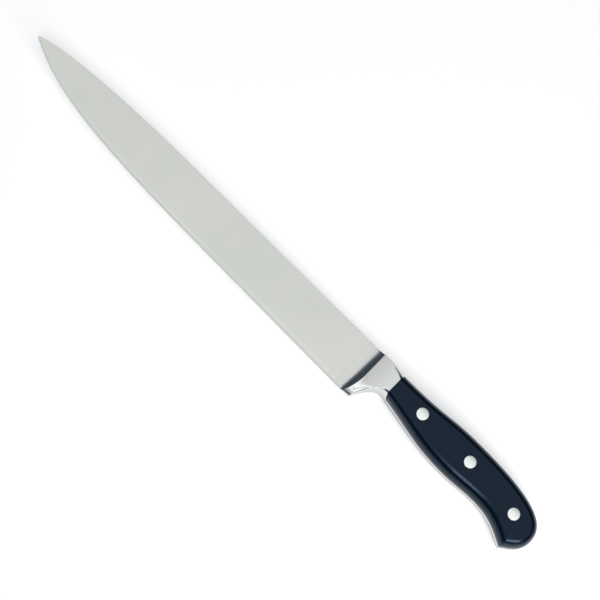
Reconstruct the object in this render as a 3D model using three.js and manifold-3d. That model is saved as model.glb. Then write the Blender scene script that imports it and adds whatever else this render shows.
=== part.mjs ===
// A forged carving knife: one steel blank (blade, bolster and full tang), two moulded handle scales
// and three two-piece rivets. Millimetres. X runs along the knife from tip to butt, Y points towards
// the back of the blade and Z out of its left side. While the pieces are made, x = 0 is the front of
// the bolster, y = 0 the straight back of the blade and z = 0 its middle plane.

import * as THREE from 'three';
import { mergeVertices } from 'three/addons/utils/BufferGeometryUtils.js';
import Module from 'manifold-3d';

const wasm = await Module();
wasm.setup();

const { clamp, degToRad, lerp, smoothstep } = THREE.MathUtils;

// Blade
const bladeLength = 250;
const heelDepth = 30.6;
const straightEdge = 116;
const straightEdgeRise = 1.75;
const straightBack = 146;
const tipDrop = 8.75;
const tipHeight = 1.2;
const tipBackAngle = degToRad(16.5);
const tipEdgeAngle = degToRad(27.5);
const backThickness = 2.6;
const tipThickness = 0.4;
const backChamfer = 0.35;
const bevelHeight = 1.2;
const bevelThickness = 0.5;
const edgeThickness = 0.1;

// Towards the tip, chamfer and bevel shrink with the blade: their largest shares of its size there
const chamferShare = 0.25;
const bevelShare = 0.25;
const bevelThicknessShare = 0.8;

// Bolster
const bolsterLength = 19;
const filletLead = 1.6;
const filletReach = 4.15;
const filletThickness = 8.58;
const filletTopReach = 3.3;
const filletHeelReach = -0.3;
const filletBackThickness = 2.6;
const filletEdgeThickness = 1;
const filletHollow = 1.6;
const filletStraight = 0.65;
const filletTurn = 0.4;
const creaseRoll = 15;
const creaseFullness = 1.75;
const flankBulge = 0.15;
const heelLength = 5.7;
const heelThickness = 3;
const heelCornerRise = 0.6;
const heelRoll = 13;
const rollFade = 4.5;
const choilRoll = 0.5;
const rearSwell = 2.5;
const choilDepth = 17.5;
const choilAngle = degToRad(62.5);
const frontCrown = 0.4;
const shoulderSetback = 2.4;
const shoulderFlat = 4.4;

// Handle, measured back from the bolster's rear edge or forward from the butt
const handleLength = 111.6;
const handleThickness = 19;
const dipDepth = 1.15;
const crestDistance = 53.7;
const crestHeight = 1.45;
const buttDepth = 17.4;
const beakInset = 10.6;
const beakDepth = 31.7;
const beakRearAngle = degToRad(38);
const beakUnderAngle = degToRad(-28);
const waistInset = 38;
const waistDepth = 23.4;
const bellyDistance = 51.7;
const bellyDepth = 24.5;
const bellyAngle = degToRad(-9.5);
const crownAtBolster = 4.6;
const rollAtBolster = 3.6;
const handleRound = 4.8;
const bellyRound = 5.7;
const roundingRun = 50;
const beakRun = 25;
const beakSlide = 8;
const scaleGap = 0.1;

// Tang and rivets
const tangThickness = 3.5;
const frontRivetDistance = 21.6;
const rearRivetInset = 17.4;
const rivetRise = 0.5;
const rivetHeadDiameter = 7;
const rivetHeadHeight = 3;
const tubeDiameter = 5;
const tubeBore = 3.2;
const tubeWallAtHead = 4;
const pinEngagement = 8;
const rivetClearance = 0.1;

// How far each outline curve holds the directions of its start and its end, as shares of its span
const backFullness = [0.26, 0.24];
const edgeFullness = [0.64, 0.19];
const foreFullness = [0.5, 0.4];
const riseFullness = [0.62, 0.42];
const buttFullness = [0.74, 0.2];
const rearFullness = [0.47, 0.284];
const choilFullness = [0.9, 0.18];
const bellyFullness = [0.41, 0.43];
const waistFullness = [0.42, 0.42];
const beakFullness = [0.46, 0.33];

// Fineness of the facets. The handle's outline has as many steps above (two curves to the butt and one
// round it) as below (three curves), because the tang is made of strips between the two.
const bladeSteps = 22;
const filletSteps = 6;
const bolsterSteps = 9;
const crownSteps = 5;
const flankSteps = 4;
const rollSteps = 6;
const topSteps = 15;
const buttSteps = 3;
const underSteps = 11;
const roundingSteps = 6;
const roundSides = 28;
const facetTolerance = 0.01;

const buttX = bolsterLength + handleLength;
const handleHalf = handleThickness / 2;
const tangHalf = tangThickness / 2;
const shoulderFoot = bolsterLength + shoulderSetback;
const filletShare = filletLead / bladeLength;

function polar(origin, length, angle) {
  return new THREE.Vector2(origin.x + length * Math.cos(angle), origin.y + length * Math.sin(angle));
}

// A curve that leaves one point and reaches the next along given directions
function ease(path, end, leaveAngle, reachAngle, fullness) {
  const span = path.currentPoint.distanceTo(end);
  const leave = polar(path.currentPoint, fullness[0] * span, leaveAngle);
  const reach = polar(end, -fullness[1] * span, reachAngle);
  return path.bezierCurveTo(leave.x, leave.y, reach.x, reach.y, end.x, end.y);
}

// Height of a path at a given x, where the path's x grows all the way
function heightAt(path, x) {
  let low = 0;
  let high = 1;
  for (let halving = 0; halving < 40; halving += 1) {
    const middle = (low + high) / 2;
    if (path.getPoint(middle).x < x) low = middle;
    else high = middle;
  }
  return path.getPoint(low).y;
}

// Outlines of the blade from bolster to tip

const backTip = new THREE.Vector2(-bladeLength, tipHeight / 2 - tipDrop);
const edgeTip = new THREE.Vector2(-bladeLength, -tipHeight / 2 - tipDrop);

const bladeBack = new THREE.Path().moveTo(0, 0).lineTo(-straightBack, 0);
ease(bladeBack, backTip, Math.PI, Math.PI + tipBackAngle, backFullness);

const edgeSlope = Math.atan2(straightEdgeRise, straightEdge);
const bladeEdge = new THREE.Path().moveTo(0, -heelDepth);
bladeEdge.lineTo(-straightEdge, straightEdgeRise - heelDepth);
ease(bladeEdge, edgeTip, Math.PI - edgeSlope, Math.PI - tipEdgeAngle, edgeFullness);

// Outlines of bolster and handle: along the top and round the butt to the beak, and below

const dip = new THREE.Vector2(shoulderFoot, -dipDepth);
const crest = new THREE.Vector2(bolsterLength + crestDistance, crestHeight);
const buttEnd = new THREE.Vector2(buttX, -buttDepth);
const beak = new THREE.Vector2(buttX - beakInset, -beakDepth);
const waist = new THREE.Vector2(buttX - waistInset, -waistDepth);
const belly = new THREE.Vector2(bolsterLength + bellyDistance, -bellyDepth);
const choilTop = new THREE.Vector2(shoulderFoot, -choilDepth);
const heelCorner = new THREE.Vector2(heelLength, heelCornerRise - heelDepth);

const foreTop = new THREE.Path().moveTo(0, 0);
ease(foreTop, dip, 0, 0, foreFullness);

const handleTop = new THREE.Path().moveTo(dip.x, dip.y);
ease(handleTop, crest, 0, 0, riseFullness);
ease(handleTop, buttEnd, 0, -Math.PI / 2, buttFullness);

const buttUnder = new THREE.Path().moveTo(buttEnd.x, buttEnd.y);
ease(buttUnder, beak, -Math.PI / 2, Math.PI + beakRearAngle, rearFullness);

const choil = new THREE.Path().moveTo(heelCorner.x, heelCorner.y);
ease(choil, choilTop, choilAngle, bellyAngle, choilFullness);

const underBelly = new THREE.Path().moveTo(choilTop.x, choilTop.y);
ease(underBelly, belly, bellyAngle, 0, bellyFullness);
ease(underBelly, waist, 0, 0, waistFullness);
ease(underBelly, beak, 0, beakUnderAngle, beakFullness);

function topAt(x) {
  return heightAt(x < dip.x ? foreTop : handleTop, x);
}

function underAt(x) {
  return heightAt(x < choilTop.x ? choil : underBelly, x);
}

const topChain = [...handleTop.getPoints(topSteps), ...buttUnder.getPoints(buttSteps).slice(1)];
const underChain = underBelly.getPoints(underSteps);

// The bolster's rear faces lean: they start further forward on the flanks than beside the tang
function shoulderX(z) {
  return shoulderFoot - (shoulderSetback * (z - tangHalf)) / (handleHalf - tangHalf);
}

function middleOf(ring) {
  const sum = ring.reduce((total, point) => total.add(point), new THREE.Vector3());
  return sum.divideScalar(ring.length);
}

// Closed body through rings of equal length, whose two ends are fans round the given points
function loft(rings, frontHeart, rearHeart) {
  const count = rings[0].length;
  const last = rings.length - 1;
  const front = count * rings.length;
  const rear = front + 1;
  const faces = [];
  for (let side = 0; side < count; side += 1) {
    const next = (side + 1) % count;
    for (let ring = 0; ring < last; ring += 1) {
      const a = ring * count + side;
      const b = ring * count + next;
      faces.push(a, b, b + count, a, b + count, a + count);
    }
    faces.push(front, next, side);
    faces.push(rear, last * count + side, last * count + next);
  }
  const geometry = new THREE.BufferGeometry();
  geometry.setFromPoints([...rings.flat(), frontHeart, rearHeart]);
  geometry.setIndex(faces);
  return geometry;
}

function solid(geometry) {
  const bare = geometry.clone();
  bare.deleteAttribute('normal');
  bare.deleteAttribute('uv');
  const welded = mergeVertices(bare, 1e-5);
  const vertProperties = new Float32Array(welded.attributes.position.array);
  const triVerts = new Uint32Array(welded.index.array);
  const mesh = new wasm.Mesh({ numProp: 3, vertProperties, triVerts, tolerance: facetTolerance });
  return new wasm.Manifold(mesh);
}

function geometryOf(body) {
  const mesh = body.getMesh();
  const geometry = new THREE.BufferGeometry();
  geometry.setAttribute('position', new THREE.BufferAttribute(mesh.vertProperties, 3));
  geometry.setIndex(new THREE.BufferAttribute(mesh.triVerts, 1));
  geometry.computeVertexNormals();
  return geometry;
}

// Half a cross-section of the blank, from the back down to the edge or choil: a crown, a straight
// flank and a roll between four key points. Power 1 makes chamfers of the two ends, 2 round arcs, more
// makes them squarer.
function halfSection({ top, upper, lower, bottom, power }) {
  const points = [];
  for (let step = 0; step <= crownSteps; step += 1) {
    const angle = (step / crownSteps) * (Math.PI / 2);
    const out = Math.sin(angle) ** (2 / power);
    const down = 1 - Math.cos(angle) ** (2 / power);
    points.push(new THREE.Vector3(
      lerp(top.x, upper.x, out),
      lerp(top.y, upper.y, down),
      lerp(top.z, upper.z, out),
    ));
  }
  for (let step = 1; step <= flankSteps; step += 1) {
    points.push(new THREE.Vector3().lerpVectors(upper, lower, step / flankSteps));
  }
  for (let step = 1; step <= rollSteps; step += 1) {
    const angle = (step / rollSteps) * (Math.PI / 2);
    const inward = 1 - Math.cos(angle) ** (2 / power);
    const down = Math.sin(angle) ** (2 / power);
    points.push(new THREE.Vector3(
      lerp(lower.x, bottom.x, inward),
      lerp(lower.y, bottom.y, down),
      lerp(lower.z, bottom.z, inward),
    ));
  }
  return points;
}

function wholeSection(half) {
  const far = half.map((point) => new THREE.Vector3(point.x, point.y, -point.z));
  return [...half, ...far.reverse()];
}

// Blade section at a share of the way from bolster to tip: it thins towards the tip
function bladeHalf(share) {
  const back = bladeBack.getPointAt(share);
  const edge = bladeEdge.getPointAt(share);
  const depth = back.distanceTo(edge);
  const thickness = lerp(tipThickness, backThickness, Math.sqrt(1 - share));
  const half = thickness / 2;
  const chamfer = Math.min(backChamfer, thickness * chamferShare, depth * bevelShare);
  const bevel = Math.min(bevelHeight, depth * bevelShare);
  const bevelHalf = Math.min(bevelThickness, thickness * bevelThicknessShare) / 2;
  return halfSection({
    top: new THREE.Vector3(back.x, back.y, half - chamfer),
    upper: new THREE.Vector3(back.x, back.y - chamfer, half),
    lower: new THREE.Vector3(edge.x, edge.y + bevel, bevelHalf),
    bottom: new THREE.Vector3(edge.x, edge.y, Math.min(edgeThickness, bevelHalf) / 2),
    power: 1,
  });
}

// Where the concave front of the bolster ends: it reaches furthest and thickest on the flank
function creaseHalf() {
  const half = filletThickness / 2;
  const topY = topAt(filletTopReach);
  return halfSection({
    top: new THREE.Vector3(filletTopReach, topY, filletBackThickness / 2),
    upper: new THREE.Vector3(filletReach, topY - frontCrown, half),
    lower: new THREE.Vector3(filletReach, creaseRoll - heelDepth, half),
    bottom: new THREE.Vector3(filletHeelReach, -heelDepth, filletEdgeThickness / 2),
    power: creaseFullness,
  });
}

// Bolster section: its flanks flare from the concave front to the handle's full thickness
function bolsterHalf(share) {
  const flankX = lerp(heelLength, bolsterLength, share);
  const endX = lerp(heelLength, shoulderX(shoulderFlat / 2), share);
  const flare = (flankX - filletReach) / (bolsterLength - filletReach);
  const bulge = flankBulge * flare * (1 - flare);
  const half = lerp(filletThickness / 2, handleHalf, flare + bulge);
  const swell = share ** rearSwell;
  const crown = lerp(frontCrown, crownAtBolster, swell);
  const roll = lerp(lerp(choilRoll, rollAtBolster, swell), heelRoll, (1 - share) ** rollFade);
  return halfSection({
    top: new THREE.Vector3(endX, topAt(endX), lerp(filletBackThickness, shoulderFlat, share) / 2),
    upper: new THREE.Vector3(flankX, topAt(flankX) - crown, half),
    lower: new THREE.Vector3(flankX, underAt(flankX) + roll, half),
    bottom: new THREE.Vector3(endX, underAt(endX), lerp(heelThickness, shoulderFlat, share) / 2),
    power: 2,
  });
}

// Rise of the concave front at a share of its reach: a hollow curve, then straight at its last slope
function frontRise(share) {
  const curved = Math.min(share, filletStraight);
  const slope = filletHollow * curved ** (filletHollow - 1);
  return curved ** filletHollow + slope * (share - curved);
}

// Half the thickness of a section at a height, from its points in order from top to underside
function halfThicknessAt(section, y) {
  const lowest = section.length - 1;
  const found = section.findIndex((point, index) => index > 0 && point.y <= y);
  const below = found < 0 ? lowest : Math.min(found, lowest);
  const start = section[below - 1];
  const end = section[below];
  return lerp(start.z, end.z, clamp((start.y - y) / (start.y - end.y), 0, 1));
}

// The concave front: sections that swell from the blade's heel to the crease. Its lines soon turn
// to run along the knife.
function filletHalf(share) {
  const heel = bladeHalf(filletShare);
  const crease = creaseHalf();
  const rise = frontRise(share) / frontRise(1);
  const turn = smoothstep(share, 0, filletTurn);
  return heel.map((point, index) => {
    const end = crease[index];
    const y = lerp(point.y, end.y, turn);
    const half = lerp(halfThicknessAt(heel, y), end.z, rise);
    return new THREE.Vector3(lerp(point.x, end.x, share), y, half);
  });
}

// A strip across the tang from its top to its underside
function tangHalfStrip(above, below, count) {
  return Array.from({ length: count }, (unused, index) => {
    const place = above.clone().lerp(below, index / (count - 1));
    return new THREE.Vector3(place.x, place.y, tangHalf);
  });
}

// Blade, bolster and tang in one body
function forging() {
  const halves = [];
  for (let step = bladeSteps; step >= 0; step -= 1) {
    const reach = Math.sin((step / bladeSteps) * (Math.PI / 2));
    halves.push(bladeHalf(lerp(filletShare, 1, reach)));
  }
  for (let step = 1; step <= filletSteps; step += 1) {
    halves.push(filletHalf(step / filletSteps));
  }
  for (let step = 0; step <= bolsterSteps; step += 1) {
    halves.push(bolsterHalf(step / bolsterSteps));
  }
  const shoulder = halves[halves.length - 1];
  halves.push(shoulder.map((point) => new THREE.Vector3(shoulderFoot, point.y, tangHalf)));
  for (let step = 1; step < topChain.length; step += 1) {
    halves.push(tangHalfStrip(topChain[step], underChain[step], shoulder.length));
  }
  const rings = halves.map(wholeSection);
  return solid(loft(rings, middleOf(rings[0]), middleOf(rings[rings.length - 1])));
}

// Inward step at each point of an outline for one unit of inset; its two ends move only up or down.
// Points near the beak also slide away from it, so that they keep their order as the corner moves in.
function insetSteps(outline) {
  const normals = outline.slice(1).map((point, index) => {
    const along = point.clone().sub(outline[index]).normalize();
    return new THREE.Vector2(along.y, -along.x);
  });
  const corner = topChain.length - 1;
  const slide = Math.tan(normals[corner - 1].angleTo(normals[corner]) / 2);
  return outline.map((point, index) => {
    if (index === 0) return new THREE.Vector2(0, -1);
    if (index === outline.length - 1) return new THREE.Vector2(0, 1);
    const before = normals[index - 1];
    const after = normals[index];
    const step = before.clone().add(after).divideScalar(1 + before.dot(after));
    const away = point.clone().sub(outline[corner]);
    const nearness = Math.max(1 - away.length() / beakSlide, 0);
    return step.addScaledVector(away.normalize(), slide * nearness);
  });
}

// One handle scale: flat against the tang, rounded over to a flat outer face
function scaleBody(side) {
  const outline = [...topChain, ...underChain.slice(0, -1).reverse()];
  const steps = insetSteps(outline);
  const rings = [];
  for (let ring = 0; ring <= roundingSteps; ring += 1) {
    const angle = (ring / roundingSteps) * (Math.PI / 2);
    const height = tangHalf + (handleHalf - tangHalf) * Math.sin(angle);
    const front = shoulderX(height) + scaleGap;
    const points = outline.map((point, index) => {
      const place = point.clone();
      if (index === 0) place.set(front, topAt(front));
      if (index === outline.length - 1) place.set(front, underAt(front));
      const below = index < topChain.length ? 0 : smoothstep(point.distanceTo(beak), 0, beakRun);
      const full = lerp(handleRound, bellyRound, below);
      const run = smoothstep(place.x, bolsterLength, bolsterLength + roundingRun);
      const round = lerp(index < topChain.length ? crownAtBolster : rollAtBolster, full, run);
      place.addScaledVector(steps[index], round * (1 - Math.cos(angle)));
      return new THREE.Vector3(place.x, place.y, side * height);
    });
    rings.push(side > 0 ? points.reverse() : points);
  }
  const heartX = (waist.x + beak.x) / 2;
  const heart = new THREE.Vector3(heartX, (topAt(heartX) + underAt(heartX)) / 2, side * tangHalf);
  const outerHeart = heart.clone().setZ(side * handleHalf);
  return solid(loft(rings, heart, outerHeart));
}

// Rivets

const frontRivetX = bolsterLength + frontRivetDistance;
const rearRivetX = buttX - rearRivetInset;
const rivetPlaces = [frontRivetX, (frontRivetX + rearRivetX) / 2, rearRivetX].map((x) => {
  const y = (topAt(x) + underAt(x)) / 2 + rivetRise;
  return new THREE.Vector2(x, y);
});
const headSeat = handleHalf - rivetHeadHeight;

function bore(place, diameter, from, to) {
  const radius = diameter / 2 + rivetClearance;
  const cutter = new THREE.CylinderGeometry(radius, radius, to - from, roundSides);
  cutter.rotateX(Math.PI / 2);
  cutter.translate(place.x, place.y, (from + to) / 2);
  return solid(cutter);
}

function turned(profile) {
  const points = profile.map(([radius, height]) => new THREE.Vector2(radius, height));
  const geometry = new THREE.LatheGeometry(points, roundSides);
  geometry.rotateX(Math.PI / 2);
  return geometryOf(solid(geometry));
}

// Head and barrel, with a blind bore for the pin
function rivetTube() {
  const end = rivetClearance - headSeat;
  const boreTop = headSeat - tubeWallAtHead;
  return turned([
    [0, boreTop],
    [tubeBore / 2, boreTop],
    [tubeBore / 2, end],
    [tubeDiameter / 2, end],
    [tubeDiameter / 2, headSeat],
    [rivetHeadDiameter / 2, headSeat],
    [rivetHeadDiameter / 2, handleHalf],
    [0, handleHalf],
  ]);
}

// Head and pin, which fills the barrel's bore
function rivetPin() {
  const radius = tubeBore / 2 - rivetClearance;
  const end = Math.min(pinEngagement, 2 * headSeat - tubeWallAtHead - rivetClearance) - headSeat;
  return turned([
    [0, -handleHalf],
    [rivetHeadDiameter / 2, -handleHalf],
    [rivetHeadDiameter / 2, -headSeat],
    [radius, -headSeat],
    [radius, end],
    [0, end],
  ]);
}

// Pieces

const knife = new THREE.Group();

function addPiece(name, geometry, finish) {
  const piece = new THREE.Mesh(geometry, new THREE.MeshStandardMaterial(finish));
  piece.name = name;
  knife.add(piece);
  return piece;
}

const satinSteel = { color: 0xcfd1cc, roughness: 0.35, metalness: 1 };
const blackPlastic = { color: 0x10161f, roughness: 0.3, metalness: 0 };
const brightRivet = { color: 0xe6e8e4, roughness: 0.25, metalness: 1 };

let blank = forging();
for (const place of rivetPlaces) {
  blank = blank.subtract(bore(place, tubeDiameter, -handleHalf, handleHalf));
}
addPiece('forged_blank', geometryOf(blank), satinSteel);

for (const [name, side] of [['left_scale', 1], ['right_scale', -1]]) {
  let scale = scaleBody(side);
  for (const place of rivetPlaces) {
    const seat = [side * headSeat, side * handleThickness];
    scale = scale.subtract(bore(place, tubeDiameter, -handleThickness, handleThickness));
    scale = scale.subtract(bore(place, rivetHeadDiameter, Math.min(...seat), Math.max(...seat)));
  }
  addPiece(name, geometryOf(scale), blackPlastic);
}

['front', 'middle', 'rear'].forEach((position, index) => {
  const place = rivetPlaces[index];
  const tube = addPiece(`${position}_rivet_tube`, rivetTube(), brightRivet);
  const pin = addPiece(`${position}_rivet_pin`, rivetPin(), brightRivet);
  tube.position.set(place.x, place.y, 0);
  pin.position.set(place.x, place.y, 0);
});

// The knife lies on its right side, with the origin under the middle of its outer box
knife.updateMatrixWorld(true);
const box = new THREE.Box3().setFromObject(knife);
const middle = box.getCenter(new THREE.Vector3());
knife.position.set(-middle.x, -middle.y, -box.min.z);

export default knife;
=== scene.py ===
"""A forged carving knife with a satin blade, a polished bolster and a riveted black handle."""

from math import atan2, cos, pi, radians, sin, sqrt, tan

import bpy
from mathutils import Matrix, Vector
from mathutils.geometry import interpolate_bezier


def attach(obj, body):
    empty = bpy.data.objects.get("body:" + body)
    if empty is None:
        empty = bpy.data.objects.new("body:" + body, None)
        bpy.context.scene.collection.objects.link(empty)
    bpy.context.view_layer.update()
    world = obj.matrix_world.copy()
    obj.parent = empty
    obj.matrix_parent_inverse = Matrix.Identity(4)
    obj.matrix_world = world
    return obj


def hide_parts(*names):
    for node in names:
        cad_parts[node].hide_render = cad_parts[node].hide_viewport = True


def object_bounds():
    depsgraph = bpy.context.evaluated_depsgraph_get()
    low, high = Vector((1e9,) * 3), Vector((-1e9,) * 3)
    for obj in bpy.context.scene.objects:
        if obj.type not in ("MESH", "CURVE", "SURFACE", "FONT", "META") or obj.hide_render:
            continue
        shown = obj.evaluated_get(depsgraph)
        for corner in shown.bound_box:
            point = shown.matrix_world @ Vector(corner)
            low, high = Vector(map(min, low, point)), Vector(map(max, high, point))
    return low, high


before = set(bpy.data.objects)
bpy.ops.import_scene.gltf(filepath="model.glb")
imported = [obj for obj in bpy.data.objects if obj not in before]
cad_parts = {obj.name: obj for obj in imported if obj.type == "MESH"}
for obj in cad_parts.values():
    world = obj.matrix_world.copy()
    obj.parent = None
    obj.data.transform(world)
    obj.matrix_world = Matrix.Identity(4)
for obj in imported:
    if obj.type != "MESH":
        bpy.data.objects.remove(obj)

cad_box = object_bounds()

# All sizes are in millimetres. While the pieces are shaped, x = 0 is the front of the bolster,
# y = 0 the straight back of the blade and z = 0 its middle plane.
MM = 0.001

# Blade
BLADE_LENGTH = 250
HEEL_DEPTH = 30.6
STRAIGHT_EDGE = 116
STRAIGHT_EDGE_RISE = 1.75
STRAIGHT_BACK = 146
TIP_DROP = 8.75
TIP_HEIGHT = 1.2
TIP_BACK_ANGLE = radians(16.5)
TIP_EDGE_ANGLE = radians(27.5)
TIP_ROUND = 1.4
BACK_THICKNESS = 2.6
TIP_THICKNESS = 0.4
BACK_CHAMFER = 0.35
BEVEL_HEIGHT = 1.2
BEVEL_THICKNESS = 0.5
EDGE_THICKNESS = 0.1

# Towards the tip, chamfer and bevel shrink with the blade: their largest shares of its size there
CHAMFER_SHARE = 0.25
BEVEL_SHARE = 0.25
BEVEL_THICKNESS_SHARE = 0.8

# Bolster
BOLSTER_LENGTH = 19
FILLET_LEAD = 1.6
FILLET_REACH = 4.15
FILLET_THICKNESS = 8.58
FILLET_TOP_REACH = 3.3
FILLET_HEEL_REACH = -0.3
FILLET_BACK_THICKNESS = 2.6
FILLET_EDGE_THICKNESS = 1
FILLET_HOLLOW = 1.6
FILLET_STRAIGHT = 0.65
FILLET_TURN = 0.4
CREASE_ROLL = 15
CREASE_FULLNESS = 1.75
FLANK_BULGE = 0.15
HEEL_LENGTH = 5.7
HEEL_THICKNESS = 3
HEEL_CORNER_RISE = 0.6
HEEL_ROLL = 13
ROLL_FADE = 4.5
CHOIL_ROLL = 0.5
REAR_SWELL = 2.5
CHOIL_DEPTH = 17.5
CHOIL_ANGLE = radians(62.5)
FRONT_CROWN = 0.4
SHOULDER_SETBACK = 2.4
SHOULDER_FLAT = 4.4

# Handle, measured back from the bolster's rear edge or forward from the butt
HANDLE_LENGTH = 111.6
HANDLE_THICKNESS = 19
DIP_DEPTH = 1.15
CREST_DISTANCE = 53.7
CREST_HEIGHT = 1.45
BUTT_DEPTH = 17.4
BEAK_INSET = 10.6
BEAK_DEPTH = 31.7
BEAK_REAR_ANGLE = radians(38)
BEAK_UNDER_ANGLE = radians(-28)
WAIST_INSET = 38
WAIST_DEPTH = 23.4
BELLY_DISTANCE = 51.7
BELLY_DEPTH = 24.5
BELLY_ANGLE = radians(-9.5)
CROWN_AT_BOLSTER = 4.6
ROLL_AT_BOLSTER = 3.6
HANDLE_ROUND = 4.8
BELLY_ROUND = 5.7
ROUNDING_RUN = 50
BEAK_RUN = 25
BEAK_SLIDE = 8
SCALE_GAP = 0.1
FLAT_MARGIN = 0.4

# Tang and rivets
TANG_THICKNESS = 3.5
FRONT_RIVET_DISTANCE = 21.6
REAR_RIVET_INSET = 17.4
RIVET_RISE = 0.5
RIVET_HEAD_DIAMETER = 7
RIVET_HEAD_HEIGHT = 3
RIVET_RIM = 0.2
TUBE_DIAMETER = 5
TUBE_BORE = 3.2
TUBE_WALL_AT_HEAD = 4
PIN_ENGAGEMENT = 8
RIVET_CLEARANCE = 0.1

# How far each outline curve holds the directions of its start and its end, as shares of its span
BACK_FULLNESS = (0.26, 0.24)
EDGE_FULLNESS = (0.64, 0.19)
FORE_FULLNESS = (0.5, 0.4)
RISE_FULLNESS = (0.62, 0.42)
BUTT_FULLNESS = (0.74, 0.2)
REAR_FULLNESS = (0.47, 0.284)
CHOIL_FULLNESS = (0.9, 0.18)
BELLY_FULLNESS = (0.41, 0.43)
WAIST_FULLNESS = (0.42, 0.42)
BEAK_FULLNESS = (0.46, 0.33)

# Powers of a section's corners: 1 makes chamfers, 2 arcs and more squarer ones
CHAMFERED = 1
ROUNDED = 2

# Fineness of the surfaces
CURVE_STEPS = 400
NOSE_STEPS = 6
BLADE_STEPS = 70
FILLET_STEPS = 20
SATIN_STEPS = 4
BOLSTER_STEPS = 32
CROWN_STEPS = 12
FLANK_STEPS = 12
ROLL_STEPS = 18
TOP_STEPS = 96
UNDER_STEPS = 96
ROUNDING_STEPS = 22
ROUND_SIDES = 64
RIM_STEPS = 3
MERGE_DISTANCE = 0.002
SLIVER_LENGTH = 0.001
RIM_TOLERANCE = 0.01
FACING = 0.9
SMOOTH_ANGLE = radians(20)

BUTT_X = BOLSTER_LENGTH + HANDLE_LENGTH
HANDLE_HALF = HANDLE_THICKNESS / 2
TANG_HALF = TANG_THICKNESS / 2
SHOULDER_FOOT = BOLSTER_LENGTH + SHOULDER_SETBACK
FILLET_SHARE = FILLET_LEAD / BLADE_LENGTH
HEAD_SEAT = HANDLE_HALF - RIVET_HEAD_HEIGHT

# Where the front of the bolster lies in the shared frame: the knife rests on its right side
knife_place = Vector((
    cad_box[0].x / MM + BLADE_LENGTH,
    cad_box[1].y / MM - CREST_HEIGHT,
    HANDLE_HALF,
))


def lerp(start, end, share):
    return start + (end - start) * share


def smoothstep(value, low, high):
    share = min(max((value - low) / (high - low), 0), 1)
    return share * share * (3 - 2 * share)


def polar(origin, length, angle):
    return origin + length * Vector((cos(angle), sin(angle)))


def ease(outline, end, leave_angle, reach_angle, fullness):
    """Carries an outline on to a point, leaving and reaching along given directions."""
    start = outline[-1]
    span = (end - start).length
    leave = polar(start, fullness[0] * span, leave_angle)
    reach = polar(end, -fullness[1] * span, reach_angle)
    curve = interpolate_bezier(start, leave, reach, end, CURVE_STEPS)
    return outline + [point.to_2d() for point in curve[1:]]


def along(outline, share):
    """The point a share of the way along an outline."""
    lengths = [(b - a).length for a, b in zip(outline, outline[1:])]
    left = share * sum(lengths)
    for start, end, length in zip(outline, outline[1:], lengths):
        if left <= length:
            return start.lerp(end, left / length)
        left -= length
    return outline[-1].copy()


def height_at(outline, x):
    """Height of an outline at a given x, where its x grows all the way."""
    for start, end in zip(outline, outline[1:]):
        if x <= end.x:
            return lerp(start.y, end.y, (x - start.x) / (end.x - start.x))
    return outline[-1].y


# Outlines of the blade from bolster to tip
tip = Vector((-BLADE_LENGTH, -TIP_DROP))
back_tip = tip + Vector((0, TIP_HEIGHT / 2))
edge_tip = tip - Vector((0, TIP_HEIGHT / 2))
edge_slope = atan2(STRAIGHT_EDGE_RISE, STRAIGHT_EDGE)

blade_back = [Vector((0, 0)), Vector((-STRAIGHT_BACK, 0))]
blade_back = ease(blade_back, back_tip, pi, pi + TIP_BACK_ANGLE, BACK_FULLNESS)

blade_edge = [Vector((0, -HEEL_DEPTH)), Vector((-STRAIGHT_EDGE, STRAIGHT_EDGE_RISE - HEEL_DEPTH))]
blade_edge = ease(blade_edge, edge_tip, pi - edge_slope, pi - TIP_EDGE_ANGLE, EDGE_FULLNESS)

# Outlines of bolster and handle: along the top and round the butt to the beak, and below
dip = Vector((SHOULDER_FOOT, -DIP_DEPTH))
crest = Vector((BOLSTER_LENGTH + CREST_DISTANCE, CREST_HEIGHT))
butt_end = Vector((BUTT_X, -BUTT_DEPTH))
beak = Vector((BUTT_X - BEAK_INSET, -BEAK_DEPTH))
waist = Vector((BUTT_X - WAIST_INSET, -WAIST_DEPTH))
belly = Vector((BOLSTER_LENGTH + BELLY_DISTANCE, -BELLY_DEPTH))
choil_top = Vector((SHOULDER_FOOT, -CHOIL_DEPTH))
heel_corner = Vector((HEEL_LENGTH, HEEL_CORNER_RISE - HEEL_DEPTH))

fore_top = ease([Vector((0, 0))], dip, 0, 0, FORE_FULLNESS)
handle_top = ease([dip], crest, 0, 0, RISE_FULLNESS)
handle_top = ease(handle_top, butt_end, 0, -pi / 2, BUTT_FULLNESS)
round_butt = ease(handle_top, beak, -pi / 2, pi + BEAK_REAR_ANGLE, REAR_FULLNESS)
choil = ease([heel_corner], choil_top, CHOIL_ANGLE, BELLY_ANGLE, CHOIL_FULLNESS)
under_belly = ease([choil_top], belly, BELLY_ANGLE, 0, BELLY_FULLNESS)
under_belly = ease(under_belly, waist, 0, 0, WAIST_FULLNESS)
under_belly = ease(under_belly, beak, 0, BEAK_UNDER_ANGLE, BEAK_FULLNESS)

top_chain = [along(round_butt, step / TOP_STEPS) for step in range(TOP_STEPS + 1)]
under_chain = [along(under_belly, step / UNDER_STEPS) for step in range(UNDER_STEPS + 1)]


def top_at(x):
    return height_at(fore_top if x < dip.x else handle_top, x)


def under_at(x):
    return height_at(choil if x < choil_top.x else under_belly, x)


def shoulder_x(z):
    """The bolster's rear faces lean: they start further forward on the flanks than by the tang."""
    return SHOULDER_FOOT - SHOULDER_SETBACK * (z - TANG_HALF) / (HANDLE_HALF - TANG_HALF)


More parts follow.
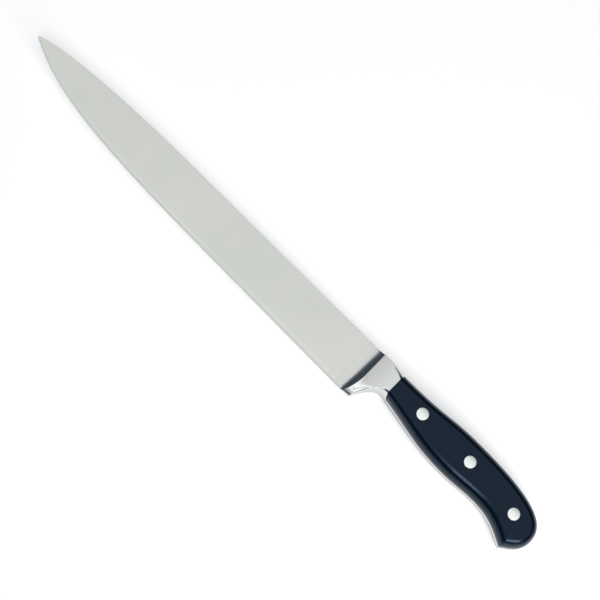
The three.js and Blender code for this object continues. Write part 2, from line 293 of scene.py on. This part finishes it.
def half_section(top, upper, lower, bottom, power):
    """The left half of a cross-section of the blank, from the middle of its back to the middle
    of its underside: a crown, a straight flank and a roll."""
    points = [Vector((top.x, top.y, 0))]
    for step in range(CROWN_STEPS + 1):
        angle = step / CROWN_STEPS * pi / 2
        out = sin(angle) ** (2 / power)
        down = 1 - max(cos(angle), 0) ** (2 / power)
        points.append(Vector((
            lerp(top.x, upper.x, out),
            lerp(top.y, upper.y, down),
            lerp(top.z, upper.z, out),
        )))
    for step in range(1, FLANK_STEPS + 1):
        points.append(upper.lerp(lower, step / FLANK_STEPS))
    for step in range(1, ROLL_STEPS + 1):
        angle = step / ROLL_STEPS * pi / 2
        inward = 1 - max(cos(angle), 0) ** (2 / power)
        down = sin(angle) ** (2 / power)
        points.append(Vector((
            lerp(lower.x, bottom.x, inward),
            lerp(lower.y, bottom.y, down),
            lerp(lower.z, bottom.z, inward),
        )))
    points.append(Vector((bottom.x, bottom.y, 0)))
    return points


def blade_half(share):
    """Blade section at a share of the way from bolster to tip: it thins towards the tip."""
    back = along(blade_back, share)
    edge = along(blade_edge, share)
    depth = (back - edge).length
    thickness = lerp(TIP_THICKNESS, BACK_THICKNESS, sqrt(1 - share))
    half = thickness / 2
    chamfer = min(BACK_CHAMFER, thickness * CHAMFER_SHARE, depth * BEVEL_SHARE)
    bevel = min(BEVEL_HEIGHT, depth * BEVEL_SHARE)
    bevel_half = min(BEVEL_THICKNESS, thickness * BEVEL_THICKNESS_SHARE) / 2
    return half_section(
        Vector((back.x, back.y, half - chamfer)),
        Vector((back.x, back.y - chamfer, half)),
        Vector((edge.x, edge.y + bevel, bevel_half)),
        Vector((edge.x, edge.y, min(EDGE_THICKNESS, bevel_half) / 2)),
        CHAMFERED,
    )


def nose_half(share):
    """The last bit of the tip, drawn in to a rounded point."""
    ahead = TIP_ROUND * (1 - cos(share * pi / 2))
    size = sin(share * pi / 2)
    base = blade_half(1 - ahead / BLADE_LENGTH)
    if share == 0:
        return [tip.to_3d()] * len(base)
    middle = Vector((base[0].x, (base[0].y + base[-1].y) / 2, 0))
    drawn = []
    for point in base:
        offset = point - middle
        drawn.append(Vector((tip.x + ahead, middle.y + offset.y * size, offset.z * size)))
    return drawn


def crease_half():
    """Where the concave front of the bolster ends: it reaches furthest on the flank."""
    half = FILLET_THICKNESS / 2
    top_y = top_at(FILLET_TOP_REACH)
    return half_section(
        Vector((FILLET_TOP_REACH, top_y, FILLET_BACK_THICKNESS / 2)),
        Vector((FILLET_REACH, top_y - FRONT_CROWN, half)),
        Vector((FILLET_REACH, CREASE_ROLL - HEEL_DEPTH, half)),
        Vector((FILLET_HEEL_REACH, -HEEL_DEPTH, FILLET_EDGE_THICKNESS / 2)),
        CREASE_FULLNESS,
    )


def bolster_half(share):
    """Bolster section: its flanks flare from the concave front to the handle's thickness."""
    flank_x = lerp(HEEL_LENGTH, BOLSTER_LENGTH, share)
    end_x = lerp(HEEL_LENGTH, shoulder_x(SHOULDER_FLAT / 2), share)
    flare = (flank_x - FILLET_REACH) / (BOLSTER_LENGTH - FILLET_REACH)
    bulge = FLANK_BULGE * flare * (1 - flare)
    half = lerp(FILLET_THICKNESS / 2, HANDLE_HALF, flare + bulge)
    swell = share ** REAR_SWELL
    crown = lerp(FRONT_CROWN, CROWN_AT_BOLSTER, swell)
    roll = lerp(CHOIL_ROLL, ROLL_AT_BOLSTER, swell)
    roll = lerp(roll, HEEL_ROLL, (1 - share) ** ROLL_FADE)
    return half_section(
        Vector((end_x, top_at(end_x), lerp(FILLET_BACK_THICKNESS, SHOULDER_FLAT, share) / 2)),
        Vector((flank_x, top_at(flank_x) - crown, half)),
        Vector((flank_x, under_at(flank_x) + roll, half)),
        Vector((end_x, under_at(end_x), lerp(HEEL_THICKNESS, SHOULDER_FLAT, share) / 2)),
        ROUNDED,
    )


def front_rise(share):
    """Rise of the concave front at a share of its reach: hollow, then straight at its last
    slope."""
    curved = min(share, FILLET_STRAIGHT)
    slope = FILLET_HOLLOW * curved ** (FILLET_HOLLOW - 1)
    return curved ** FILLET_HOLLOW + slope * (share - curved)


def half_thickness_at(section, y):
    """Half the thickness of a section at a height, from its points from top to underside."""
    for start, end in zip(section[1:-1], section[2:-1]):
        if end.y <= y:
            share = (start.y - y) / (start.y - end.y)
            return lerp(start.z, end.z, min(max(share, 0), 1))
    return section[-2].z


def fillet_half(share):
    """The concave front: sections that swell from the blade's heel to the crease. Its lines soon
    turn to run along the knife."""
    rise = front_rise(share) / front_rise(1)
    turn = smoothstep(share, 0, FILLET_TURN)
    heel = blade_half(FILLET_SHARE)
    points = []
    for start, end in zip(heel, crease_half()):
        y = lerp(start.y, end.y, turn)
        base = half_thickness_at(heel, y) if end.z else 0
        points.append(Vector((lerp(start.x, end.x, share), y, lerp(base, end.z, rise))))
    return points


def tang_half(above, below, count):
    """A strip round half the tang from its top to its underside."""
    strip = [Vector((above.x, above.y, 0))]
    for step in range(count - 2):
        spot = above.lerp(below, step / (count - 3))
        strip.append(Vector((spot.x, spot.y, TANG_HALF)))
    strip.append(Vector((below.x, below.y, 0)))
    return strip


def bare_all():
    """Back to object mode with nothing selected."""
    if bpy.context.object and bpy.context.object.mode != "OBJECT":
        bpy.ops.object.mode_set(mode="OBJECT")
    bpy.ops.object.select_all(action="DESELECT")


def take(piece):
    bare_all()
    piece.select_set(True)
    bpy.context.view_layer.objects.active = piece


def skin(name, rings):
    """A grid of quads drawn over rows of points, one row for each ring."""
    bare_all()
    bpy.ops.mesh.primitive_grid_add(
        x_subdivisions=len(rings[0]) - 1, y_subdivisions=len(rings) - 1, size=1
    )
    piece = bpy.context.object
    piece.name = name
    piece.data.name = name
    spread = [MM * value for ring in rings for point in ring for value in point]
    piece.data.vertices.foreach_set("co", spread)
    piece.data.update()
    return piece


def close(piece):
    """Joins the points that meet, closes the open ends and turns the faces outwards."""
    take(piece)
    bpy.ops.object.mode_set(mode="EDIT")
    bpy.ops.mesh.select_all(action="SELECT")
    bpy.ops.mesh.remove_doubles(threshold=MERGE_DISTANCE * MM)
    bpy.ops.mesh.dissolve_degenerate(threshold=SLIVER_LENGTH * MM)
    bpy.ops.mesh.select_all(action="SELECT")
    bpy.ops.mesh.fill_holes(sides=0)
    bpy.ops.mesh.select_all(action="SELECT")
    bpy.ops.mesh.normals_make_consistent(inside=False)
    bpy.ops.object.mode_set(mode="OBJECT")


def pick(piece, kind, wanted):
    """Edit mode with only the wanted faces or edges selected."""
    take(piece)
    bpy.ops.object.mode_set(mode="EDIT")
    bpy.ops.mesh.select_mode(type=kind)
    bpy.ops.mesh.select_all(action="DESELECT")
    bpy.ops.object.mode_set(mode="OBJECT")
    for spot in piece.data.polygons if kind == "FACE" else piece.data.edges:
        spot.select = wanted(spot)
    bpy.ops.object.mode_set(mode="EDIT")


def apply_modifier(piece, kind, **settings):
    take(piece)
    modifier = piece.modifiers.new(kind.title(), kind)
    for setting, value in settings.items():
        setattr(modifier, setting, value)
    bpy.ops.object.modifier_apply(modifier=modifier.name)


def place(piece, offset):
    """Moves a piece and puts the move into its mesh."""
    take(piece)
    piece.location = offset * MM
    bpy.ops.object.transform_apply(location=True, rotation=True, scale=True)


def finish_piece(piece, node_name):
    take(piece)
    bpy.ops.object.shade_smooth_by_angle(angle=SMOOTH_ANGLE)
    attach(piece, "root")
    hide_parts(node_name)


# Where the rivets sit
front_rivet_x = BOLSTER_LENGTH + FRONT_RIVET_DISTANCE
rear_rivet_x = BUTT_X - REAR_RIVET_INSET
rivet_places = [
    Vector((x, (top_at(x) + under_at(x)) / 2 + RIVET_RISE, 0))
    for x in (front_rivet_x, (front_rivet_x + rear_rivet_x) / 2, rear_rivet_x)
]


# Materials

def linear(code):
    """Linear colour of an sRGB hex value."""
    levels = [int(code[start:start + 2], 16) / 255 for start in (1, 3, 5)]
    return tuple(
        level / 12.92 if level <= 0.04045 else ((level + 0.055) / 1.055) ** 2.4
        for level in levels
    ) + (1,)


def fill(tree, node, inputs):
    """Sets a node's inputs: a value stays as it is, an output is linked."""
    for socket, value in inputs.items():
        if isinstance(value, bpy.types.NodeSocket):
            tree.links.new(value, node.inputs[socket])
        else:
            node.inputs[socket].default_value = value


def add(tree, kind, inputs, **settings):
    """Adds a node with its settings and inputs."""
    node = tree.nodes.new(kind)
    for setting, value in settings.items():
        setattr(node, setting, value)
    fill(tree, node, inputs)
    return node


def start_material(name):
    material = bpy.data.materials.new(name)
    material.use_nodes = True
    tree = material.node_tree
    shader = tree.nodes["Principled BSDF"]
    spots = add(tree, "ShaderNodeTexCoord", {}).outputs["Object"]
    return material, tree, shader, spots


def streaks(tree, spots, size, **inputs):
    """Noise whose spots have these sizes in millimetres along X, Y and Z."""
    stretched = add(tree, "ShaderNodeMapping", {
        "Vector": spots, "Scale": [1 / (length * MM) for length in size],
    })
    noise = add(tree, "ShaderNodeTexNoise", {
        "Vector": stretched.outputs["Vector"], "Scale": 1, **inputs,
    })
    return noise.outputs["Fac"]


def specks(tree, spots, size, detail):
    """Noise whose spots have one size in millimetres."""
    noise = add(tree, "ShaderNodeTexNoise", {
        "Vector": spots, "Scale": 1 / (size * MM), "Detail": detail,
    })
    return noise.outputs["Fac"]


def tint(tree, pattern, dark, light):
    """A colour that a pattern varies between two sRGB values."""
    mixed = add(tree, "ShaderNodeMix", {
        "Factor": pattern, "A": linear(dark), "B": linear(light),
    }, data_type="RGBA")
    return mixed.outputs["Result"]


def vary(tree, pattern, low, high):
    """A number that a pattern varies between two values."""
    ranged = add(tree, "ShaderNodeMapRange", {"Value": pattern, "To Min": low, "To Max": high})
    return ranged.outputs["Result"]


def relief(tree, pattern, strength, height):
    """Bumps after a pattern, with their height in millimetres."""
    bumps = add(tree, "ShaderNodeBump", {
        "Height": pattern, "Strength": strength, "Distance": height * MM,
    })
    return bumps.outputs["Normal"]


# Stainless blade steel, ground to a satin on a wet belt that runs from back to edge. It gives a
# soft even grey with faint lines across the blade. The real lines are about 0.05 mm apart; here
# they are 0.6 mm apart, so that they show.
satin_steel, tree, shader, spots = start_material("satin_ground_blade_steel")
lines = streaks(tree, spots, (0.6, 40, 40), Detail=3, Roughness=0.6)
clouds = specks(tree, spots, 28, 2)
mixed = add(tree, "ShaderNodeMath", {0: lines, 1: clouds}, operation="ADD").outputs["Value"]
tone = add(tree, "ShaderNodeMapRange", {"Value": mixed, "From Min": 0.6, "From Max": 1.4})
fill(tree, shader, {
    "Base Color": tint(tree, tone.outputs["Result"], "#D2D5CF", "#DCDED9"),
    "Roughness": vary(tree, lines, 0.34, 0.44),
    "Normal": relief(tree, lines, 0.15, 0.02),
    "Metallic": 1,
})

# The same steel, honed along the edge on a fine wheel: a narrow, slightly darker band.
honed_steel, tree, shader, spots = start_material("honed_edge_steel")
lines = streaks(tree, spots, (0.8, 8, 8), Detail=2)
fill(tree, shader, {
    "Base Color": tint(tree, lines, "#BCBFBA", "#C6C9C5"),
    "Roughness": vary(tree, lines, 0.22, 0.3),
    "Metallic": 1,
})

# The same steel, polished on a buffing wheel at the bolster: it mirrors its surroundings softly.
# The wheel leaves faint marks along the knife, a few millimetres long.
polished_steel, tree, shader, spots = start_material("buffed_bolster_steel")
marks = streaks(tree, spots, (9, 0.7, 0.7), Detail=2)
fill(tree, shader, {
    "Base Color": tint(tree, marks, "#D3D5D3", "#DBDDDC"),
    "Roughness": vary(tree, marks, 0.14, 0.22),
    "Specular Tint": linear("#E0E1E2"),
    "Metallic": 1,
})

# Black acetal, moulded smooth: blue-black, with a soft gloss and the slight waviness of a moulding.
# A blue specular tint paints its reflections blue, as painted cool light.
moulded_acetal, tree, shader, spots = start_material("moulded_black_acetal")
waves = specks(tree, spots, 6, 1)
grain = specks(tree, spots, 0.5, 2)
fill(tree, shader, {
    "Base Color": tint(tree, grain, "#020C1A", "#041120"),
    "Roughness": vary(tree, grain, 0.18, 0.22),
    "Normal": relief(tree, waves, 0.1, 0.05),
    "Specular IOR Level": 0.32,
    # Painted cool light: this blue tint colours every reflection and highlight on the acetal
    "Specular Tint": linear("#BBD7FA"),
})

# Aluminium, turned and then ground flush with the scales: bright, with faint lines along the knife.
rivet_metal, tree, shader, spots = start_material("flush_ground_rivet_aluminium")
marks = streaks(tree, spots, (6, 0.5, 0.5), Detail=2)
fill(tree, shader, {
    "Base Color": tint(tree, marks, "#E6ECE9", "#F1F6F3"),
    "Roughness": vary(tree, marks, 0.25, 0.35),
    "Metallic": 1,
})


# Forged blank: blade, bolster and tang in one body, shaped as a left half and mirrored

def forge_blank():
    rows = [nose_half(step / NOSE_STEPS) for step in range(NOSE_STEPS + 1)]
    nose_share = 1 - TIP_ROUND / BLADE_LENGTH
    for step in range(1, BLADE_STEPS + 1):
        reach = cos(step / BLADE_STEPS * pi / 2)
        rows.append(blade_half(lerp(FILLET_SHARE, nose_share, reach)))
    blade_rows = len(rows)
    rows += [fillet_half(step / FILLET_STEPS) for step in range(1, FILLET_STEPS + 1)]
    rows += [bolster_half(step / BOLSTER_STEPS) for step in range(BOLSTER_STEPS + 1)]
    shoulder = rows[-1]
    rows.append([Vector((SHOULDER_FOOT, spot.y, min(spot.z, TANG_HALF))) for spot in shoulder])
    for above, below in zip(top_chain[1:], under_chain[1:]):
        rows.append(tang_half(above, below, len(shoulder)))

    piece = skin("knife_blank", rows)
    finishes = [satin_steel, honed_steel, polished_steel]
    for finish in finishes:
        piece.data.materials.append(finish)
    for face in piece.data.polygons:
        row, column = divmod(face.index, len(shoulder) - 1)
        if row >= blade_rows - 1 + SATIN_STEPS:
            face.material_index = finishes.index(polished_steel)
        elif column > CROWN_STEPS + FLANK_STEPS:
            face.material_index = finishes.index(honed_steel)
    crease = blade_rows + FILLET_STEPS - 1
    per_row = len(shoulder)
    pick(piece, "EDGE", lambda edge: all(end // per_row == crease for end in edge.vertices))
    bpy.ops.mesh.mark_sharp()
    bpy.ops.object.mode_set(mode="OBJECT")
    apply_modifier(
        piece, "MIRROR", use_axis=(False, False, True), merge_threshold=MERGE_DISTANCE * MM
    )
    close(piece)
    return piece


# Handle scales

def inset_steps(outline):
    """Inward step at each point of an outline for one unit of inset; its ends move up or down.
    Points near the beak also slide away from it, to keep their order as the corner moves in."""
    normals = []
    for start, end in zip(outline, outline[1:]):
        run = (end - start).normalized()
        normals.append(Vector((run.y, -run.x)))
    corner = len(top_chain) - 1
    slide = tan(normals[corner - 1].angle(normals[corner]) / 2)
    steps = [Vector((0, -1))]
    for spot, before, after in zip(outline[1:], normals, normals[1:]):
        away = spot - outline[corner]
        nearness = max(1 - away.length / BEAK_SLIDE, 0)
        step = (before + after) / (1 + before.dot(after))
        steps.append(step + away.normalized() * slide * nearness)
    return steps + [Vector((0, 1))]


def mould_scale():
    """The left scale: flat against the tang, rounded over to a flat outer face."""
    outline = top_chain + under_chain[-2::-1]
    steps = inset_steps(outline)

    def ring(angle, margin):
        height = lerp(TANG_HALF, HANDLE_HALF, sin(angle))
        front = shoulder_x(height) + SCALE_GAP
        points = []
        for index, (spot, step) in enumerate(zip(outline, steps)):
            at_front = CROWN_AT_BOLSTER
            full = HANDLE_ROUND
            if index >= len(top_chain):
                at_front = ROLL_AT_BOLSTER
                full = lerp(full, BELLY_ROUND, smoothstep((spot - beak).length, 0, BEAK_RUN))
            spot = spot.copy()
            if index == 0:
                spot = Vector((front, top_at(front)))
            if index == len(outline) - 1:
                spot = Vector((front, under_at(front)))
            run = smoothstep(spot.x, BOLSTER_LENGTH, BOLSTER_LENGTH + ROUNDING_RUN)
            spot += step * (lerp(at_front, full, run) * (1 - cos(angle)) + margin)
            points.append(Vector((spot.x, spot.y, height)))
        return points + points[:1]

    rings = [ring(step / ROUNDING_STEPS * pi / 2, 0) for step in range(ROUNDING_STEPS + 1)]
    rings.append(ring(pi / 2, FLAT_MARGIN))
    piece = skin("left_handle_scale", rings)
    piece.data.materials.append(moulded_acetal)
    close(piece)
    return piece


def push(distance):
    """Extrudes what is selected along Z."""
    bpy.ops.mesh.extrude_region_move(TRANSFORM_OT_translate={"value": (0, 0, distance * MM)})


def rivet_drill():
    """Stepped cutter for one rivet: its bore and the seats of its two heads."""
    bare_all()
    bore = TUBE_DIAMETER / 2 + RIVET_CLEARANCE
    seat = RIVET_HEAD_DIAMETER / 2 + RIVET_CLEARANCE
    bpy.ops.mesh.primitive_cylinder_add(
        vertices=ROUND_SIDES, radius=bore * MM, depth=2 * HEAD_SEAT * MM
    )
    drill = bpy.context.object
    for side in (1, -1):
        pick(drill, "FACE", lambda face: face.normal.z * side > FACING)
        push(0)
        bpy.ops.transform.resize(value=(seat / bore, seat / bore, 1))
        push(side * 2 * RIVET_HEAD_HEIGHT)
        bpy.ops.object.mode_set(mode="OBJECT")
    return drill


def rivet_head(name, side):
    """A head whose rim is broken, ready to carry its barrel or pin."""
    bare_all()
    bpy.ops.mesh.primitive_cylinder_add(
        vertices=ROUND_SIDES,
        radius=RIVET_HEAD_DIAMETER / 2 * MM,
        depth=RIVET_HEAD_HEIGHT * MM,
        location=(0, 0, side * (HANDLE_HALF - RIVET_HEAD_HEIGHT / 2) * MM),
    )
    bpy.ops.object.transform_apply(location=True, rotation=False, scale=False)
    head = bpy.context.object
    head.name = name
    head.data.name = name
    head.data.materials.append(rivet_metal)
    rim = side * HANDLE_HALF
    points = head.data.vertices
    pick(head, "EDGE", lambda edge: all(
        abs(points[end].co.z / MM - rim) < RIM_TOLERANCE for end in edge.vertices
    ))
    bpy.ops.mesh.bevel(offset=RIVET_RIM * MM, segments=RIM_STEPS, affect="EDGES")
    pick(head, "FACE", lambda face: face.normal.z * side < -FACING)
    return head


def turn_tube():
    """Head and barrel, with a blind bore for the pin."""
    tube = rivet_head("rivet_tube", 1)
    end = RIVET_CLEARANCE - HEAD_SEAT
    bpy.ops.mesh.inset(thickness=(RIVET_HEAD_DIAMETER - TUBE_DIAMETER) / 2 * MM)
    push(end - HEAD_SEAT)
    bpy.ops.mesh.inset(thickness=(TUBE_DIAMETER - TUBE_BORE) / 2 * MM)
    push(HEAD_SEAT - TUBE_WALL_AT_HEAD - end)
    bare_all()
    return tube


def turn_pin():
    """Head and pin, which fills the barrel's bore."""
    pin = rivet_head("rivet_pin", -1)
    bpy.ops.mesh.inset(thickness=(RIVET_HEAD_DIAMETER / 2 - TUBE_BORE / 2 + RIVET_CLEARANCE) * MM)
    push(PIN_ENGAGEMENT)
    bare_all()
    return pin


def copy_of(piece, name):
    take(piece)
    bpy.ops.object.duplicate(linked=False)
    twin = bpy.context.object
    twin.name = name
    twin.data.name = name
    return twin


blank = forge_blank()
left_scale = mould_scale()

drill = rivet_drill()
drills = [copy_of(drill, "drill") for spot in rivet_places]
for cutter, spot in zip(drills, rivet_places):
    place(cutter, spot)
    for piece in (blank, left_scale):
        apply_modifier(piece, "BOOLEAN", object=cutter, operation="DIFFERENCE", solver="EXACT")
for cutter in drills + [drill]:
    bpy.data.objects.remove(cutter)

right_scale = copy_of(left_scale, "right_handle_scale")
bpy.ops.transform.mirror(constraint_axis=(False, False, True))
bpy.ops.object.transform_apply(location=False, rotation=False, scale=True)
bpy.ops.object.mode_set(mode="EDIT")
bpy.ops.mesh.select_all(action="SELECT")
bpy.ops.mesh.normals_make_consistent(inside=False)

for piece, node_name, slot in (
    (blank, "forged_blank", "blank_steel"),
    (left_scale, "left_scale", "scale_plastic"),
    (right_scale, "right_scale", "scale_plastic"),
):
    place(piece, knife_place)
    finish_piece(piece, node_name)

tube = turn_tube()
pin = turn_pin()
for position, spot in zip(("front", "middle", "rear"), rivet_places):
    for half, kind in ((tube, "tube"), (pin, "pin")):
        piece = copy_of(half, f"{position}_handle_rivet_{kind}")
        place(piece, knife_place + spot)
        finish_piece(piece, f"{position}_rivet_{kind}")
for half in (tube, pin):
    bpy.data.objects.remove(half)


# Floor, light and camera

VIEW_CENTRE = Vector((10.29, 4.135, 9.5)) * MM
VIEW_WIDTH = 324 * MM
VIEW_DISTANCE = 2
VIEW_LEAN = radians(14)
VIEW_TURN = radians(44.63)
SENSOR_WIDTH = 36
VIEW_LIMIT = 100
FLOOR_WIDTH = 16
FLOOR_DROP = 0.05
FLOOR_GLOW = 0.38
ROOM_GREY = (0.045, 0.062, 0.088, 1)
BOX_WHITE = (1.06, 1.06, 1.06, 1)

# The big soft box overhead, in degrees from the zenith towards -X, +X, -Y and +Y: where it starts
# to fade and where the dim room begins
BOX_FADES = (("X", -28, -72), ("X", 28, 72), ("Y", -1, -62), ("Y", 17, 38))

bare_all()
bpy.ops.mesh.primitive_plane_add(size=FLOOR_WIDTH, location=(0, 0, -FLOOR_DROP * MM))
floor = bpy.context.object
floor.name = "floor"
floor_white, tree, shader, spots = start_material("matt_white_floor")
rays = add(tree, "ShaderNodeLightPath", {}).outputs
seen = rays["Is Camera Ray"]
for kind in ("Is Glossy Ray", "Is Transmission Ray"):
    either = add(tree, "ShaderNodeMath", {0: seen, 1: rays[kind]}, operation="MAXIMUM")
    seen = either.outputs["Value"]
glow = add(tree, "ShaderNodeMath", {0: seen, 1: FLOOR_GLOW}, operation="MULTIPLY")
fill(tree, shader, {
    "Base Color": linear("#F2F2F2"),
    "Roughness": 0.9,
    "Specular IOR Level": 0,
    "Emission Color": (1, 1, 1, 1),
    "Emission Strength": glow.outputs["Value"],
})
floor.data.materials.append(floor_white)

across = Vector((1, 0, 0))
rise = Vector((0, cos(VIEW_LEAN), sin(VIEW_LEAN)))
right = across * cos(VIEW_TURN) + rise * sin(VIEW_TURN)
up = rise * cos(VIEW_TURN) - across * sin(VIEW_TURN)
back = Vector((0, -sin(VIEW_LEAN), cos(VIEW_LEAN)))
camera = bpy.data.objects.new("camera", bpy.data.cameras.new("camera"))
bpy.context.scene.collection.objects.link(camera)
camera.data.sensor_width = SENSOR_WIDTH
camera.data.lens = SENSOR_WIDTH * VIEW_DISTANCE / VIEW_WIDTH
turn = Matrix((right, up, back)).transposed().to_4x4()
camera.matrix_world = Matrix.Translation(VIEW_CENTRE + back * VIEW_DISTANCE) @ turn
camera.data.clip_end = VIEW_LIMIT
bpy.context.scene.camera = camera
bpy.context.scene.view_settings.view_transform = "Standard"

# The soft box overhead is drawn in the world
world = bpy.data.worlds.new("studio")
world.use_nodes = True
tree = world.node_tree
way = add(tree, "ShaderNodeTexCoord", {}).outputs["Generated"]
way = add(tree, "ShaderNodeSeparateXYZ", {"Vector": way}).outputs
light = 1
for axis, near, far in BOX_FADES:
    lean = add(tree, "ShaderNodeMath", {0: way[axis], 1: way["Z"]}, operation="ARCTAN2")
    fade = add(tree, "ShaderNodeMapRange", {
        "Value": lean.outputs["Value"], "From Min": radians(near), "From Max": radians(far),
        "To Min": 1, "To Max": 0,
    }, interpolation_type="SMOOTHSTEP")
    light = add(tree, "ShaderNodeMath", {0: light, 1: fade.outputs["Result"]},
                operation="MULTIPLY").outputs["Value"]
shade = add(tree, "ShaderNodeMix", {"Factor": light, "A": ROOM_GREY, "B": BOX_WHITE},
            data_type="RGBA")
fill(tree, tree.nodes["Background"], {"Color": shade.outputs["Result"]})
bpy.context.scene.world = world


def soft_box(name, spot, heading, size, brightness):
    """A rectangular soft box that faces the knife, with its first side along the heading."""
    lamp = bpy.data.lights.new(name, "AREA")
    lamp.shape = "RECTANGLE"
    lamp.size, lamp.size_y = size
    lamp.energy = pi * size[0] * size[1] * brightness
    box = bpy.data.objects.new(name, lamp)
    bpy.context.scene.collection.objects.link(box)
    spot = Vector(spot)
    facing = spot.normalized()
    second = facing.cross(Vector(heading)).normalized()
    first = second.cross(facing).normalized()
    turn = Matrix((first, second, facing)).transposed().to_4x4()
    box.matrix_world = Matrix.Translation(spot) @ turn


# In metres: small boxes for the streaks on belly, butt and heel, and a panel beside the butt
soft_box("belly_box", spot=(0.55, -1.7, 2.5), heading=(1, 0, 0), size=(0.28, 1.9), brightness=10)
soft_box("butt_box", spot=(0.3, -0.08, 0.165), heading=(-0.6, -1, 0.2), size=(0.08, 0.13),
         brightness=8)
soft_box("heel_box", spot=(-2.2, -0.7, 2.8), heading=(1, 0, 0), size=(1.2, 2.6), brightness=0.5)
soft_box("side_panel", spot=(2.3, -1.1, 1.2), heading=(1, 2, 0), size=(1.6, 2.2), brightness=0.65)
